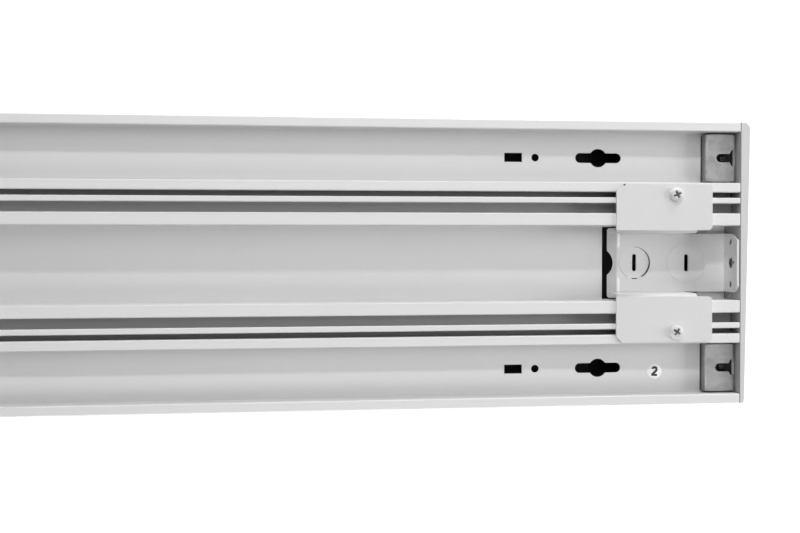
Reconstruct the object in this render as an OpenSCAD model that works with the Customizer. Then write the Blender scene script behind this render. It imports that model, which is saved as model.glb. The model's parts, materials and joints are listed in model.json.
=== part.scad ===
// Wide linear ceiling light, modelled with its ceiling side up.
// The origin is the centre of the plane that lies against the ceiling.
// X runs along the body, Y across it, and Z points up to the ceiling.
// Parts that repeat at both ends are drawn in an end frame: x is 0 at the
// end of the extrusion and negative towards the middle of the body.

/* [Body] */
// Length of the extrusion without the end caps
body_l = 1208; // [1000:1:2400]
// Width over the side walls
body_w = 190; // [180:1:240]
// Height from the ceiling plane to the lower rim
body_h = 76; // [74:1:110]
// Thickness of the side walls
side_t = 2.2; // [1.6:0.1:3]
// Thickness of the floors and the inner walls
web_t = 1.8; // [1.2:0.1:2.4]
// Thickness of the lips beside the slots
lip_t = 2; // [1.4:0.1:3]
// Chamfer on the long edges that face the ceiling
edge_c = 0.5; // [0.2:0.1:0.8]

/* [Channels] */
// Width of the wiring channel along the middle
well_w = 50.6; // [46:0.1:56]
// Depth of the wiring channel
well_d = 22.6; // [20:0.1:25]
// Width of the rail beside the wiring channel
rail_in_w = 8.3; // [7:0.1:10]
// Width of the hanger slot's mouth
hanger_slot_w = 6.7; // [5:0.1:7.5]
// Width of the hanger slot below its lips
hanger_slot_in_w = 11.5; // [10:0.1:12]
// Width of the rib between the two slots
rib_w = 3.8; // [3.6:0.1:6]
// Width of the slot for the cover screws
screw_slot_w = 3.7; // [3.5:0.1:4.5]
// Width of the rail beside the side channel
rail_out_w = 6.4; // [5:0.1:9]
// Depth of the side channels and of the slots
slot_d = 12.8; // [11:0.1:14]
// Width of the outer rims
rim_w = 6.2; // [5:0.1:9]

/* [Holes for fixing] */
// Distance of the keyholes from the end
keyhole_in = 95.1; // [85:0.1:110]
// Overall length of a keyhole
keyhole_l = 31.9; // [26:0.1:36]
// Width of a keyhole's narrow part
keyhole_w = 6.7; // [5:0.1:8]
// Diameter of a keyhole's wide part
keyhole_d = 12.5; // [10:0.1:15]
// Distance of the round holes from the end
bolt_hole_in = 138.8; // [132:0.1:142]
// Diameter of the round holes
bolt_hole_d = 5.2; // [4:0.1:6.5]
// Distance of the square-cut holes from the end
cable_hole_in = 153.9; // [152:0.1:170]
// Length of the square-cut holes
cable_hole_l = 12.2; // [8:0.1:14]
// Width of the square-cut holes
cable_hole_w = 6.1; // [5:0.1:10]
// Distance from the end to the near edge of the wiring opening
opening_out = 20; // [16:0.5:24]
// Distance from the end to the far edge of the wiring opening
opening_in = 88.9; // [84:0.1:100]

/* [End caps] */
// Thickness of an end cap
cap_t = 6; // [5:0.5:10]
// Radius of an end cap's upright corners
cap_corner_r = 2.6; // [1:0.1:4]
// Outer diameter of the screw ports in the extrusion
port_d = 6.4; // [5.6:0.1:8]
// Diameter of the end cap screws
cap_screw_d = 3.3; // [2.8:0.1:3.8]
// Head diameter of the end cap screws
cap_head_d = 7; // [5.5:0.1:8]
// Length of the end cap screws under the head
cap_screw_l = 16; // [10:1:25]

/* [Wiring covers] */
// Sheet thickness of a cover
cover_t = 1.5; // [1:0.1:2]
// Inner radius of the cover's bends
cover_bend_r = 0.6; // [0.4:0.1:1]
// Distance from the end to the near edge of the wings
wing_out = 20.6; // [18:0.1:24]
// Length of the wings along the body
wing_l = 66.5; // [62:0.1:72]
// Bare strip of rail outside a wing
wing_margin = 1.2; // [0.5:0.1:2.5]
// Corner radius of the wings
wing_r = 2.8; // [1:0.1:4]
// Length cut off the wing's corner that faces the middle
wing_chamfer = 4.3; // [2:0.1:6]
// Room between the cover's legs and the wiring channel
leg_gap = 3.6; // [3:0.1:5]
// Distance from the end to the near edge of the legs
leg_out = 31.2; // [28:0.1:34]
// Height of the cover's plate over the channel floor
plate_lift = 3.9; // [3:0.1:6]
// Distance from the end to the bend of the lip that slopes down
lip_in = 79; // [77:0.1:81]
// Length of the lip past its bend
lip_l = 6.3; // [5.5:0.1:7]
// Slope of the lip
lip_angle = 40; // [25:1:60]
// Room between the lip and the sides of the wiring channel
lip_gap = 1.2; // [1:0.1:4]
// Radius of the cable notch in the lip
notch_r = 10.3; // [8:0.1:14]
// Depth of the cable notch in the lip
notch_h = 4.2; // [3:0.1:5]
// Distance from the end to the upright tab's outer face
tab_gap = 1.1; // [0.8:0.1:4]
// Spacing of the two small holes in the tab
tab_hole_pitch = 29.2; // [24:0.1:31]
// Diameter of the two small holes in the tab
tab_hole_d = 4.2; // [3:0.1:5]
// Diameter of the middle hole in the tab
tab_mid_hole_d = 7.6; // [5:0.1:9]
// Diameter of the knockout near the middle of the body
knockout_small_d = 22.2; // [20:0.1:22.5]
// Distance of that knockout from the end
knockout_small_in = 66.8; // [64:0.1:67]
// Diameter of the knockout near the end
knockout_large_d = 28.2; // [24:0.1:30]
// Distance of that knockout from the end
knockout_large_in = 29.9; // [28:0.1:34]
// Length of the pry slots in the knockouts
pry_slot_l = 12; // [8:0.1:14]
// Width of the pry slots
pry_slot_w = 3; // [2:0.1:4]
// Distance of the cover screws from the end
cover_screw_in = 46.1; // [44:0.1:52]
// Shank diameter of the cover screws
cover_screw_d = 3.1; // [2.6:0.1:3.2]
// Head diameter of the cover screws
cover_head_d = 9; // [7:0.1:10]
// Head height of the cover screws
cover_head_h = 3.1; // [2.4:0.1:4]
// Length of the cover screws under the head
cover_screw_l = 11; // [6:0.5:12]

/* [Joiner brackets] */
// Sheet thickness of a bracket
joiner_t = 1.2; // [0.8:0.1:1.6]
// Length of a bracket along the body
joiner_l = 21.8; // [20:0.1:26]
// Depth of a bracket's top below the ceiling plane
joiner_drop = 5.5; // [4:0.1:6.5]
// Room between a bracket and the end cap
joiner_gap = 0.8; // [0.4:0.1:1.5]
// Width of the notch in a bracket
joiner_notch_w = 5.7; // [4.5:0.1:7]
// Width of the notch at its mouth
joiner_mouth_w = 10.7; // [9:0.1:13]
// Length of the notch
joiner_notch_l = 14; // [11:0.1:16]
// Shank diameter of the bracket screws
joiner_screw_d = 3.4; // [2.5:0.1:4]
// Head diameter of the bracket screws
joiner_head_d = 6; // [5:0.1:7]

/* [Light engine] */
// Depth of the space between the gear tray and the lens
chamber_h = 18; // [15:0.5:22]
// Sheet thickness of the gear tray
tray_t = 1.5; // [1:0.1:2]
// Width of the ledges that carry the gear tray
ledge_w = 8; // [7:0.1:12]
// Thickness of those ledges
ledge_t = 1.8; // [1.2:0.1:3]
// Thickness of the lens
lens_t = 2; // [1.5:0.1:3]
// Height of the lens over the lower rim
lens_recess = 0.5; // [0.3:0.1:1]
// Height of the rails along the lens's edges
lens_rail_h = 8; // [5:0.5:10]
// Room around the lens
lens_gap = 0.5; // [0.5:0.1:1]
// Width of a light board
board_w = 24; // [18:1:36]
// Thickness of a light board
board_t = 1.6; // [1:0.1:2]
// Distance of the light boards from the middle
board_y = 45; // [40:1:55]
// Spacing of the light chips along a board
chip_pitch = 25; // [15:1:60]
// Length of a light chip
chip_l = 3.5; // [2:0.1:5]
// Width of a light chip
chip_w = 2.8; // [2:0.1:5]
// Height of a light chip
chip_h = 0.8; // [0.5:0.1:1.5]

/* [Driver and wiring] */
// Length of the driver's case
driver_l = 300; // [220:1:360]
// Width of the driver's case
driver_w = 58; // [44:1:64]
// Room between the driver and the wiring channel over it
driver_top_gap = 5.6; // [5:0.1:12]
// Sheet thickness of the driver's case and lid
driver_t = 1; // [0.6:0.1:1.5]
// Thickness of the driver's circuit board
driver_board_t = 1.6; // [1:0.1:2]
// Length of the terminal block
terminal_l = 22; // [18:0.5:30]
// Width of one pole of the terminal block
terminal_pole_w = 8; // [7:0.5:10]
// Height of the terminal block
terminal_h = 15; // [12:0.5:20]
// Distance of the terminal block from the end
terminal_in = 150; // [130:1:180]
// Diameter of the wires
wire_d = 2.4; // [1.6:0.1:3]

/* [Hidden] */

$fn = 48;
// A little more than nothing, so that a cut goes right through
over = 1;
// Overlap that joins two outlines of one sheet
weld = 0.01;
// Room between a screw and the hole it goes through, on the diameter
screw_room = 0.1;

half_l = body_l / 2;
half_w = body_w / 2;

// Stations across the body, from the middle outwards
well_y = well_w / 2;
hanger_y0 = well_y + rail_in_w;
hanger_y1 = hanger_y0 + hanger_slot_w;
hanger_mid = (hanger_y0 + hanger_y1) / 2;
screw_slot_y0 = hanger_y1 + rib_w;
screw_slot_y1 = screw_slot_y0 + screw_slot_w;
screw_slot_mid = (screw_slot_y0 + screw_slot_y1) / 2;
recess_y0 = screw_slot_y1 + rail_out_w;
recess_y1 = half_w - rim_w;
recess_mid = (recess_y0 + recess_y1) / 2;
recess_w = recess_y1 - recess_y0;
wall_y = half_w - side_t;

// Levels below the ceiling plane
floor_z = -slot_d;
side_web_z = floor_z - web_t;
well_z = -well_d;
well_web_z = well_z - web_t;
lens_z = -body_h + lens_recess;
tray_z = lens_z + lens_t + chamber_h;
ledge_z = tray_z + tray_t;

// Screw ports for the end caps: under the side floors and over the ledges
port_floor_sink = 0.6;
port_wall_sink = 0.2;
port_y = [wall_y - port_d, wall_y - port_d / 2 + port_wall_sink];
port_z = [side_web_z - port_d / 2 + port_floor_sink, ledge_z + ledge_t + port_d];
// Diameter of the ports' bore
port_bore_d = cap_screw_d + screw_room;
// Room around the cap screws and around their heads, on the diameter
cap_screw_room = 0.4;
cap_head_room = 0.6;
// Strip of floor left on each side of the wiring opening
opening_side = 0.3;

// Cover stations in the end frame
leg_y = well_y - leg_gap;
wing_y = recess_y0 - wing_margin;
plate_z = well_z + plate_lift;
cover_bend_out = cover_bend_r + cover_t;
wing_x0 = -wing_out - wing_l;
tab_x = -tab_gap - cover_t;
plate_side_room = 0.1;
plate_half_w = leg_y - cover_t - plate_side_room;
lip_w = well_w - 2 * lip_gap;
// Height cut from the legs where they pass over the lip
lip_room = 4;
cover_screw_room = 0.4;
knockout_cut_w = 0.4;

// Joiner stations in the end frame
joiner_bend_r = 0.6;
joiner_bend_out = joiner_bend_r + joiner_t;
joiner_side_room = 0.5;
joiner_w = recess_w - 2 * joiner_side_room;
joiner_x1 = -joiner_gap;
joiner_x0 = joiner_x1 - joiner_l;
joiner_foot_l = 13;
joiner_screw_in = 6.9;
joiner_screw_x = joiner_x1 - joiner_screw_in;
joiner_neck_in = 4.6;
joiner_mouth_run = 1.5;
joiner_ear_in = 4.6;
joiner_ear_l = 13.4;
joiner_relief = 0.9;
joiner_head_h = 2;
// Length of thread that a screw shows past what it holds
thread_l = 2;

// Light engine stations
tray_room = 0.5;
tray_l = body_l - 2 * tray_room;
tray_w = 2 * (wall_y - tray_room);
tray_screw_shift = 1;
tray_screw_in = 60;
tray_screw_y = wall_y - ledge_w / 2 - tray_screw_shift;
tray_screw_x = [for (i = [-3, -1, 1, 3]) i / 3 * (half_l - tray_screw_in)];
tray_screw_d = 3;
tray_head_d = 6;
tray_head_h = 2;
board_gap = 4;
board_end_gap = 3;
board_l = (tray_l - board_gap) / 2 - board_end_gap;
board_mid_x = (board_l + board_gap) / 2;
board_z = tray_z - board_t;
chip_end_gap = 15;
chips_a_board = floor((board_l - 2 * chip_end_gap) / chip_pitch);
board_screw_in = 8;
board_screw_x = [for (i = [-1, 0, 1]) i * (board_l / 2 - board_screw_in)];
board_screw_d = 2.4;
board_head_d = 4.4;
board_head_h = 1.2;
connector_l = 16;
connector_w = 8;
connector_h = 3;
lens_y = wall_y - lens_gap;
lens_l = body_l - 2 * lens_gap;

// Driver, terminal block and wires stand on the tray
deck_z = ledge_z;
driver_top_z = well_web_z - driver_top_gap;
driver_h = driver_top_z - deck_z;
driver_lid_room = 0.2;
driver_foot_l = 12;
driver_foot_x = driver_l / 2 + driver_foot_l / 2;
driver_screw_side = 9;
driver_foot_y = driver_w / 2 - driver_screw_side;
driver_screw_d = 2.9;
driver_head_d = 5.6;
driver_head_h = 2;
driver_port_d = 9;
driver_port_h = 9;
driver_port_z = deck_z + driver_port_h;
driver_post_h = 3;
driver_post_d = 5;
driver_post_in = 6;
driver_board_room = 2;
driver_board_z = deck_z + driver_t + driver_post_h;
driver_board_l = driver_l - 2 * driver_t - 2 * driver_board_room;
driver_board_w = driver_w - 4 * driver_t - driver_board_room;
driver_part_z = driver_board_z + driver_board_t;
driver_part_gap = 1;
driver_part_h = driver_top_z - driver_t - driver_part_gap - driver_part_z;
core_l = 36;
core_w = 30;
core_drop = 3.3;
winding_l = 18;
winding_w = 35;
capacitor_d = 13;
capacitor_y = 8;
capacitor_x = [-60, -42, 48, 66];
terminal_x = half_l - terminal_in;
terminal_w = 3 * terminal_pole_w;
terminal_wire_h = 5;
terminal_wire_z = deck_z + terminal_wire_h;
terminal_wire_room = 1.2;
terminal_step_h = 4.5;
terminal_tower_w = 5.6;
terminal_tower_in = 1;
terminal_screw_d = 4;
terminal_screw_l = 4;
terminal_screw_room = 0.4;
terminal_well_h = 5;
terminal_groove_w = 0.8;
earth_screw_gap = 22;
earth_screw_x = terminal_x + terminal_l / 2 + earth_screw_gap;
earth_screw_y = -terminal_pole_w;
earth_head_d = 8;
earth_head_h = 2.6;
grommet_gap = 60;
grommet_x = -driver_l / 2 - grommet_gap;
grommet_d = 9;
grommet_bore_d = 6.6;
grommet_lip = 1;
grommet_rim = 1.5;
wire_room = 0.2;
dc_lie_z = deck_z + grommet_lip + wire_d / 2 + wire_room;
wire_lie_z = deck_z + wire_d / 2 + wire_room;
wire_under_z = board_z - wire_d / 2;
wire_sides = 8;
// Length of a wire inside the terminal block and inside the driver
terminal_wire_in = 4;
driver_wire_in = 8;
// Lengths over which a wire leaves the block and comes down to the tray
wire_exit_l = 12;
wire_drop_l = 4;
// Distance from the driver's foot to where a wire leaves the tray
wire_rise_gap = 14;
wire_rise_l = 12;

// Round label on the floor of the front channel
mark_d = 10.3;
mark_t = 0.15;
mark_in = 55;
mark_off = 3;

// Carries a flat outline of (y, z) along the body, centred on its length
module along_body(length) {
    rotate([90, 0, 90])
    linear_extrude(length, center = true)
    children();
}

// Carries a flat outline of (x, z) across the body, centred on its width
module across_body(width) {
    rotate([90, 0, 0])
    linear_extrude(width, center = true)
    children();
}

// Puts what is drawn in the end frame at the right (0) or the left (180) end
module at_end(turn) {
    rotate([0, 0, turn])
    translate([half_l, 0, 0])
    children();
}

module both_sides() {
    children();
    mirror([1, 0])
    children();
}

// Rectangle between two corners
module bar(a0, b0, a1, b1) {
    translate([a0, b0])
    square([a1 - a0, b1 - b0]);
}

// Quarter of a ring around (a, b), on the side that sa and sb give
module bend(a, b, sa, sb, r, t) {
    translate([a, b])
    intersection() {
        difference() {
            circle(r + t);
            circle(r);
        }
        translate([sa > 0 ? 0 : -r - t, sb > 0 ? 0 : -r - t])
        square(r + t);
    }
}

// Part of a ring around (a, b), from its top through an angle towards -x
module slope_bend(a, b, angle, r, t) {
    reach = 2 * (r + t);
    translate([a, b])
    intersection() {
        difference() {
            circle(r + t);
            circle(r);
        }
        polygon([[0, 0], [0, reach], [-reach * sin(angle), reach * cos(angle)]]);
    }
}

// Channel that is open to the ceiling, with chamfered edges
module channel(y0, y1, depth) {
    polygon([
        [y0 - edge_c - over, over], [y0, -edge_c], [y0, -depth],
        [y1, -depth], [y1, -edge_c], [y1 + edge_c + over, over]
    ]);
}

// Unit vector along v
function unit(v) = v / norm(v);

// Direction of a route at its point i
function heading(p, i) = unit(p[min(i + 1, len(p) - 1)] - p[max(i - 1, 0)]);

// Side vectors along a route, each turned no more than the route itself turns
function sides(p, i, u) =
    let (t = heading(p, i), v = unit(u - (u * t) * t))
    i == len(p) - 1 ? [v] : concat([v], sides(p, i + 1, v));

// Route with each corner replaced by a curve that starts r before it
function rounded(p, r, n) = [
    p[0],
    for (i = [1 : len(p) - 2], k = [0 : n])
        let (
            a = p[i] + unit(p[i - 1] - p[i]) * r,
            b = p[i] + unit(p[i + 1] - p[i]) * r,
            f = k / n
        )
        (1 - f) * (1 - f) * a + 2 * f * (1 - f) * p[i] + f * f * b,
    p[len(p) - 1]
];

// Round wire along a list of points, which starts along X
module wire(points) {
    route = rounded(points, wire_d, 4);
    side = sides(route, 0, [0, 1, 0]);
    count = len(route);
    ring = [
        for (i = [0 : count - 1], k = [0 : wire_sides - 1])
            let (a = 360 * k / wire_sides)
            route[i] + wire_d / 2
                * (cos(a) * side[i] + sin(a) * cross(heading(route, i), side[i]))
    ];
    faces = [
        [for (k = [0 : wire_sides - 1]) k],
        for (i = [0 : count - 2], k = [0 : wire_sides - 1])
            let (
                a = i * wire_sides + k,
                b = i * wire_sides + (k + 1) % wire_sides
            )
            each [[b + wire_sides, b, a], [a + wire_sides, b + wire_sides, a]],
        [for (k = [wire_sides - 1 : -1 : 0]) (count - 1) * wire_sides + k]
    ];
    polyhedron(ring, faces, convexity = 6);
}

// Pan head screw along -Z, its head standing on z = 0
module pan_screw(d, l, head_d, head_h) {
    dome_r = (head_d * head_d / 4 + head_h * head_h) / (2 * head_h) * 1.15;
    translate([0, 0, -l])
    cylinder(d = d, h = l + head_h / 2);
    difference() {
        intersection() {
            cylinder(d = head_d, h = head_h);
            translate([0, 0, head_h - dome_r])
            sphere(dome_r);
        }
        for (turn = [0, 90])
            rotate([0, 0, turn + 20])
            translate([-head_d * 0.27, -head_d * 0.055, head_h * 0.4])
            cube([head_d * 0.54, head_d * 0.11, head_h]);
    }
}

// Outline of the extrusion across the body
module body_profile() {
    difference() {
        polygon([
            [-half_w, -body_h], [-half_w, -edge_c], [-half_w + edge_c, 0],
            [half_w - edge_c, 0], [half_w, -edge_c], [half_w, -body_h]
        ]);
        channel(-well_y, well_y, well_d);
        both_sides() {
            channel(recess_y0, recess_y1, slot_d);
            channel(screw_slot_y0, screw_slot_y1, slot_d);
            channel(hanger_y0, hanger_y1, slot_d);
            bar(hanger_mid - hanger_slot_in_w / 2, floor_z,
                hanger_mid + hanger_slot_in_w / 2, -lip_t);
        }
        engine_space();
        both_sides()
        for (i = [0, 1])
            translate([port_y[i], port_z[i]])
            circle(d = port_bore_d);
    }
}

// Space under the floors, with the walls and ledges that stand in it
module engine_space() {
    difference() {
        union() {
            bar(-wall_y, -body_h - over, wall_y, side_web_z);
            both_sides() {
                // Relief grooves that keep the walls even
                bar(well_y + web_t, side_web_z - over,
                    hanger_mid - hanger_slot_in_w / 2 - web_t, -lip_t);
                bar(screw_slot_y1 + web_t, side_web_z - over, recess_y0 - web_t, -lip_t);
                bar(recess_y1 + web_t, side_web_z - over, wall_y, -lip_t);
            }
        }
        bar(-well_y - web_t, well_web_z, well_y + web_t, 0);
        both_sides() {
            bar(wall_y - ledge_w, ledge_z, wall_y + over, ledge_z + ledge_t);
            for (i = [0, 1])
                translate([port_y[i], port_z[i]])
                circle(d = port_d);
        }
    }
}

// Slot with round ends along X, about the origin
module slot_shape(l, w) {
    bar(-l / 2 + w / 2, -w / 2, l / 2 - w / 2, w / 2);
    for (x = [-1, 1])
        translate([x * (l - w) / 2, 0])
        circle(d = w);
}

// Holes at one end, in the end frame
module end_holes() {
    for (side = [-1, 1])
        translate([0, side * recess_mid, side_web_z - over])
        linear_extrude(web_t + 2 * over) {
            translate([-keyhole_in, 0]) {
                slot_shape(keyhole_l, keyhole_w);
                circle(d = keyhole_d);
            }
            translate([-bolt_hole_in, 0])
            circle(d = bolt_hole_d);
            translate([-cable_hole_in, 0])
            square([cable_hole_l, cable_hole_w], center = true);
            translate([joiner_screw_x, 0])
            circle(d = joiner_screw_d + screw_room);
        }
    translate([-opening_in, -well_y + opening_side, well_web_z - over])
    cube([opening_in - opening_out, well_w - 2 * opening_side, web_t + 2 * over]);
}

module housing_extrusion() {
    color("white")
    difference() {
        along_body(body_l)
        body_profile();
        for (turn = [0, 180])
            at_end(turn)
            end_holes();
        for (x = tray_screw_x, side = [-1, 1])
            translate([x, side * tray_screw_y, ledge_z - over])
            cylinder(d = tray_screw_d + screw_room, h = ledge_t + 2 * over);
    }
}

// End plate with rounded corners and sunk screw holes, in the end frame
module end_cap() {
    sink_h = cap_t / 2;
    color("gainsboro")
    difference() {
        translate([0, 0, -body_h])
        linear_extrude(body_h) {
            bar(0, -half_w, cap_t - cap_corner_r, half_w);
            bar(0, -half_w + cap_corner_r, cap_t, half_w - cap_corner_r);
            for (side = [-1, 1])
                translate([cap_t - cap_corner_r, side * (half_w - cap_corner_r)])
                circle(cap_corner_r);
        }
        for (i = [0, 1], side = [-1, 1])
            translate([0, side * port_y[i], port_z[i]])
            rotate([0, 90, 0]) {
                translate([0, 0, -over])
                cylinder(d = cap_screw_d + cap_screw_room, h = cap_t + 2 * over);
                translate([0, 0, cap_t - sink_h])
                cylinder(d = cap_head_d + cap_head_room, h = sink_h + over);
            }
    }
}

module end_cap_screws() {
    head_h = cap_t / 2 - cap_head_room;
    color("silver")
    for (i = [0, 1], side = [-1, 1])
        translate([cap_t / 2, side * port_y[i], port_z[i]])
        rotate([0, 90, 0])
        pan_screw(cap_screw_d, cap_screw_l, cap_head_d, head_h);
}

// Wing that lies on the rails, as an outline of (x, y)
module wing_shape() {
    x1 = -wing_out;
    y0 = leg_y + cover_bend_r;
    difference() {
        union() {
            bar(wing_x0, y0, x1 - wing_r, wing_y);
            bar(x1 - wing_r - over, y0 + wing_r, x1, wing_y - wing_r);
            for (y = [y0 + wing_r, wing_y - wing_r])
                translate([x1 - wing_r, y])
                circle(wing_r);
        }
        polygon([
            [wing_x0 - over, wing_y - wing_chamfer - over],
            [wing_x0 + wing_chamfer + over, wing_y + over],
            [wing_x0 - over, wing_y + over]
        ]);
    }
}

// Legs of the cover and their bends to the wings, down to height z0, as an outline of (y, z)
module legs_shape(z0) {
    both_sides() {
        bar(leg_y - cover_t, z0, leg_y, -cover_bend_r);
        bend(leg_y + cover_bend_r, -cover_bend_r, -1, 1, cover_bend_r, cover_t);
    }
}

// Plate, bends and legs of the cover, as an outline of (y, z)
module cover_channel_shape() {
    bar(-leg_y + cover_bend_out, plate_z - cover_t, leg_y - cover_bend_out, plate_z);
    both_sides()
    bend(leg_y - cover_bend_out, plate_z + cover_bend_r, 1, -1, cover_bend_r, cover_t);
    legs_shape(plate_z + cover_bend_r);
}

// Upright tab next to the end cap, as an outline of (y, z)
module tab_shape() {
    corner_w = 4.7;
    corner_h = 8.6;
    round_r = 5.5;
    hole_z = plate_z / 2 - 0.2;
    w = plate_half_w;
    z0 = plate_z + cover_bend_r;
    difference() {
        union() {
            bar(-w + round_r, z0, w, 0);
            bar(-w, z0, w, -round_r);
            translate([-w + round_r, -round_r])
            circle(round_r);
        }
        polygon([[w - corner_w, 0], [w, -corner_h], [w + over, -corner_h], [w + over, over],
            [w - corner_w, over]]);
        translate([0, hole_z])
        circle(d = tab_mid_hole_d);
        for (side = [-1, 1])
            translate([side * tab_hole_pitch / 2, hole_z])
            circle(d = tab_hole_d);
    }
}

// Lip past its bend, with its cable notch, as an outline of (x, y)
module lip_shape() {
    corner = 1.2;
    difference() {
        bar(-lip_l, -lip_w / 2, weld, lip_w / 2);
        translate([notch_h - lip_l - notch_r, 0])
        circle(notch_r);
        for (side = [-1, 1])
            translate([-lip_l, side * lip_w / 2])
            rotate(45)
            square(corner * sqrt(2), center = true);
    }
}

// Ring cut around a knockout, left uncut at two ties
module knockout_ring(d, w, depth) {
    tie = 3;
    translate([0, 0, plate_z - depth])
    linear_extrude(depth + over)
    difference() {
        circle(d = d);
        circle(d = d - 2 * w);
        for (side = [-1, 1])
            translate([side * d * 0.16 - tie / 2, -d])
            square([tie, d]);
    }
}

// Folded cover over the wiring opening, in the end frame
module wiring_cover() {
    bend_z = plate_z - cover_bend_out;
    color("whitesmoke")
    difference() {
        union() {
            translate([-(lip_in + leg_out) / 2, 0, 0])
            along_body(lip_in - leg_out)
            cover_channel_shape();
            translate([(wing_x0 - lip_in + weld) / 2, 0, 0])
            along_body(-lip_in + weld - wing_x0)
            legs_shape(plate_z + lip_room);
            for (side = [0, 1])
                mirror([0, side, 0])
                linear_extrude(cover_t)
                wing_shape();
            across_body(2 * plate_half_w) {
                slope_bend(-lip_in, bend_z, lip_angle, cover_bend_r, cover_t);
                bar(-lip_in - weld, plate_z - cover_t, tab_x - cover_bend_r, plate_z);
                bend(tab_x - cover_bend_r, plate_z + cover_bend_r, 1, -1, cover_bend_r, cover_t);
            }
            translate([-lip_in, 0, bend_z])
            rotate([0, -lip_angle, 0])
            translate([0, 0, cover_bend_r])
            linear_extrude(cover_t)
            lip_shape();
            translate([tab_x + cover_t / 2, 0, 0])
            along_body(cover_t)
            tab_shape();
        }
        for (x = [-knockout_small_in, -knockout_large_in])
            translate([x, 0, plate_z - cover_t - over])
            linear_extrude(cover_t + 2 * over)
            rotate(90)
            slot_shape(pry_slot_l, pry_slot_w);
        translate([-knockout_small_in, 0, 0])
        knockout_ring(knockout_small_d, knockout_cut_w, cover_t + over);
        translate([-knockout_large_in, 0, 0])
        knockout_ring(knockout_large_d, knockout_cut_w, cover_t / 4);
        for (side = [-1, 1])
            translate([-cover_screw_in, side * screw_slot_mid, -over])
            cylinder(d = cover_screw_d + cover_screw_room, h = cover_t + 2 * over);
    }
}

module cover_screws() {
    color("gainsboro")
    for (side = [-1, 1])
        translate([-cover_screw_in, side * screw_slot_mid, cover_t])
        pan_screw(cover_screw_d, cover_screw_l, cover_head_d, cover_head_h);
}

// Foot, end leg, top and inner leg of a joiner bracket, as an outline of (x, z)
module joiner_strip_shape() {
    top = -joiner_drop;
    r = joiner_bend_r;
    t = joiner_t;
    ro = joiner_bend_out;
    bar(joiner_x1 - joiner_foot_l, floor_z, joiner_x1 - ro, floor_z + t);
    bend(joiner_x1 - ro, floor_z + ro, 1, -1, r, t);
    bar(joiner_x1 - t, floor_z + ro, joiner_x1, top - ro);
    bend(joiner_x1 - ro, top - ro, 1, 1, r, t);
    bar(joiner_x0 + ro, top - t, joiner_x1 - ro, top);
    bend(joiner_x0 + ro, top - ro, -1, 1, r, t);
    bar(joiner_x0, floor_z, joiner_x0 + t, top - ro);
}

// Top and side ears of a joiner bracket, as an outline of (y, z)
module joiner_ear_shape() {
    top = -joiner_drop;
    y1 = joiner_w / 2;
    bar(-y1 + joiner_bend_out, top - joiner_t, y1 - joiner_bend_out, top);
    both_sides() {
        bend(y1 - joiner_bend_out, top - joiner_bend_out, 1, 1, joiner_bend_r, joiner_t);
        bar(y1 - joiner_t, floor_z, y1, top - joiner_bend_out);
    }
}

// Folded steel bracket in a side channel, about the channel's middle
module joiner_bracket() {
    top = -joiner_drop;
    round_x = joiner_x1 - joiner_notch_l + joiner_notch_w / 2;
    neck_x = joiner_x1 - joiner_neck_in;
    mouth_x = neck_x + joiner_mouth_run;
    n = joiner_notch_w / 2;
    m = joiner_mouth_w / 2;
    color("darkgray")
    difference() {
        union() {
            across_body(joiner_w - 2 * joiner_relief)
            joiner_strip_shape();
            translate([-joiner_ear_in - joiner_ear_l / 2, 0, 0])
            along_body(joiner_ear_l)
            joiner_ear_shape();
        }
        translate([0, 0, top - joiner_t])
        linear_extrude(joiner_t + over) {
            polygon([
                [round_x, -n], [neck_x, -n], [mouth_x, -m], [over, -m],
                [over, m], [mouth_x, m], [neck_x, n], [round_x, n]
            ]);
            translate([round_x, 0])
            circle(n);
        }
        translate([joiner_screw_x, 0, floor_z - over])
        cylinder(d = joiner_screw_d + screw_room, h = joiner_t + 2 * over);
    }
}

module joiner_screws() {
    color("gray")
    for (turn = [0, 180])
        at_end(turn)
        for (side = [-1, 1])
            translate([joiner_screw_x, side * recess_mid, floor_z + joiner_t])
            pan_screw(joiner_screw_d, joiner_t + web_t + thread_l, joiner_head_d, joiner_head_h);
}

// Sheet that carries the boards below and the driver above
module gear_tray() {
    color("white")
    difference() {
        translate([-tray_l / 2, -tray_w / 2, tray_z])
        cube([tray_l, tray_w, tray_t]);
        translate([0, 0, tray_z - over])
        linear_extrude(tray_t + 2 * over) {
            for (x = tray_screw_x, side = [-1, 1])
                translate([x, side * tray_screw_y])
                circle(d = tray_screw_d + screw_room);
            for (x = [-1, 1], y = [-1, 1])
                translate([x * driver_foot_x, y * driver_foot_y])
                circle(d = driver_screw_d + screw_room);
            for (side_x = [-1, 1], x = board_screw_x, y = [-1, 1])
                translate([side_x * board_mid_x + x, y * board_y])
                circle(d = board_screw_d + screw_room);
            translate([earth_screw_x, earth_screw_y])
            circle(d = driver_screw_d + screw_room);
            translate([grommet_x, 0])
            circle(d = grommet_d);
        }
    }
}

module tray_screws() {
    color("silver")
    for (x = tray_screw_x, side = [-1, 1])
        translate([x, side * tray_screw_y, tray_z])
        rotate([180, 0, 0])
        pan_screw(tray_screw_d, tray_t + ledge_t + thread_l, tray_head_d, tray_head_h);
}

// One light board with its screw holes
module led_board(side_x, side_y) {
    color("ivory")
    translate([side_x * board_mid_x, side_y * board_y, board_z])
    difference() {
        translate([-board_l / 2, -board_w / 2, 0])
        cube([board_l, board_w, board_t]);
        for (x = board_screw_x)
            translate([x, 0, -over])
            cylinder(d = board_screw_d + screw_room, h = board_t + 2 * over);
    }
}

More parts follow.
